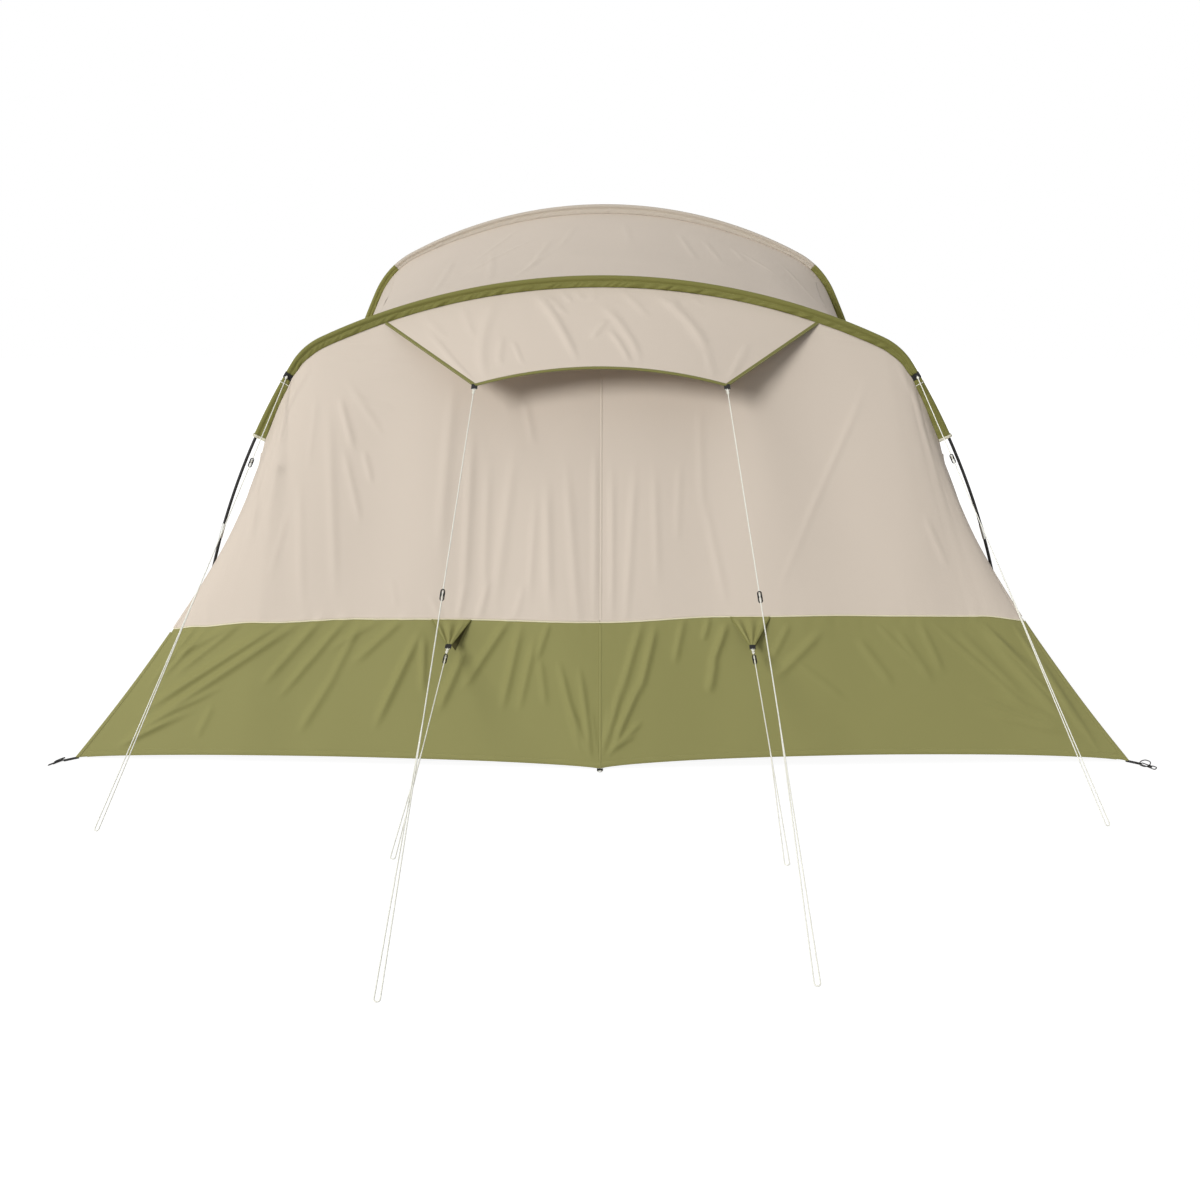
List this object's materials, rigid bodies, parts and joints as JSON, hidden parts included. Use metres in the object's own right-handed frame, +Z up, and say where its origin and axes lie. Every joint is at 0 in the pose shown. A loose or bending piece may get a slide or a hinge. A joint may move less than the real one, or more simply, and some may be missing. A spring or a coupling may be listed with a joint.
{
  "type": "family tent",
  "caption": "Tunnel tent on hoop poles in pole sleeves, with a leaning rear end, a vent hood, low side vents, guy lines with sliding tensioners and a hinged front door",
  "frame": {"origin": "on the ground, at the middle of the tent's width and of its length, guy lines left out", "axes": "+X across the tent, +Y along it towards the front door, the leaning rear end at -Y, +Z up"},
  "size_m": [3.8502, 5.5341, 2.0854],
  "materials": {
    "beige_cloth": "woven polyester, matt",
    "green_cloth": "woven polyester, matt",
    "sleeve_green": "woven polyester, matt",
    "groundsheet": "coated sheet, satin",
    "black_webbing": "woven webbing, matt",
    "black_fibreglass": "lacquered fibreglass",
    "steel": "satin",
    "black_plastic": "moulded, satin",
    "cream_cord": "braided cord, matt"
  },
  "bodies": {
    "tent": {"centre_peg_ring": "steel", "centre_peg_tab": "black_webbing", "corner_peg_loop_left": "black_webbing", "corner_peg_loop_right": "black_webbing", "front_elbow_left": "steel", "front_elbow_right": "steel", "front_leg_left": "black_fibreglass", "front_leg_right": "black_fibreglass", "front_panel": "beige_cloth", "front_roof_pole": "black_fibreglass", "front_sleeve": "sleeve_green", "groundsheet": "groundsheet", "guy_line_hood_left": "cream_cord", "guy_line_hood_right": "cream_cord", "guy_line_side_left": "cream_cord", "guy_line_side_right": "cream_cord", "guy_line_vent_left": "cream_cord", "guy_line_vent_right": "cream_cord", "hood_left_tab": "black_webbing", "hood_right_tab": "black_webbing", "middle_elbow_left": "steel", "middle_elbow_right": "steel", "middle_leg_left": "black_fibreglass", "middle_leg_right": "black_fibreglass", "middle_roof_pole": "black_fibreglass", "middle_sleeve": "sleeve_green", "rear_elbow_left": "steel", "rear_elbow_right": "steel", "rear_ferrule_left": "steel", "rear_ferrule_right": "steel", "rear_leg_left": "black_fibreglass", "rear_leg_right": "black_fibreglass", "rear_panel_left": "beige_cloth", "rear_panel_right": "beige_cloth", "rear_roof_pole": "black_fibreglass", "rear_skirt_left": "green_cloth", "rear_skirt_right": "green_cloth", "rear_sleeve_arch": "sleeve_green", "rear_sleeve_lower_left": "sleeve_green", "rear_sleeve_lower_right": "sleeve_green", "roof": "beige_cloth", "side_guy_wrap_left": "black_webbing", "side_guy_wrap_right": "black_webbing", "side_skirt_left": "green_cloth", "side_skirt_right": "green_cloth", "side_wall_left": "beige_cloth", "side_wall_right": "beige_cloth", "vent_flap_left": "green_cloth", "vent_flap_right": "green_cloth", "vent_hood": "beige_cloth", "vent_left_tab": "black_webbing", "vent_right_tab": "black_webbing"},
    "front_door": {"front_door": "beige_cloth"},
    "door_zip_slider": {"door_zip_slider": "black_plastic"},
    "tensioner_hood_left": {"tensioner_hood_left": "black_plastic"},
    "tensioner_hood_right": {"tensioner_hood_right": "black_plastic"},
    "tensioner_side_left": {"tensioner_side_left": "black_plastic"},
    "tensioner_side_right": {"tensioner_side_right": "black_plastic"},
    "tensioner_vent_left": {"tensioner_vent_left": "black_plastic"},
    "tensioner_vent_right": {"tensioner_vent_right": "black_plastic"}
  },
  "joints": [
    {"name": "front_door_swing", "type": "hinge", "parent": "tent", "child": "front_door", "pos_m": [-0.6, 1.99415, 0.88], "axis": [0, 0, 1], "range_deg": [0, 110]},
    {"name": "door_zip_slide", "type": "slide", "parent": "tent", "child": "door_zip_slider", "axis": [0, 0, 1], "range_m": [0, 1.1]},
    {"name": "tensioner_hood_left_slide", "type": "slide", "parent": "tent", "child": "tensioner_hood_left", "axis": [-0.0237, -0.8067, -0.5905], "range_m": [0, 0.4]},
    {"name": "tensioner_hood_right_slide", "type": "slide", "parent": "tent", "child": "tensioner_hood_right", "axis": [0.0446, -0.7928, -0.6078], "range_m": [0, 0.4]},
    {"name": "tensioner_side_left_slide", "type": "slide", "parent": "tent", "child": "tensioner_side_left", "axis": [-0.2065, -0.6291, -0.7494], "range_m": [0, 0.4]},
    {"name": "tensioner_side_right_slide", "type": "slide", "parent": "tent", "child": "tensioner_side_right", "axis": [0.2414, -0.598, -0.7643], "range_m": [0, 0.4]},
    {"name": "tensioner_vent_left_slide", "type": "slide", "parent": "tent", "child": "tensioner_vent_left", "axis": [-0.0558, -0.902, -0.4282], "range_m": [0, 0.4]},
    {"name": "tensioner_vent_right_slide", "type": "slide", "parent": "tent", "child": "tensioner_vent_right", "axis": [0.0201, -0.9089, -0.4166], "range_m": [0, 0.4]}
  ]
}
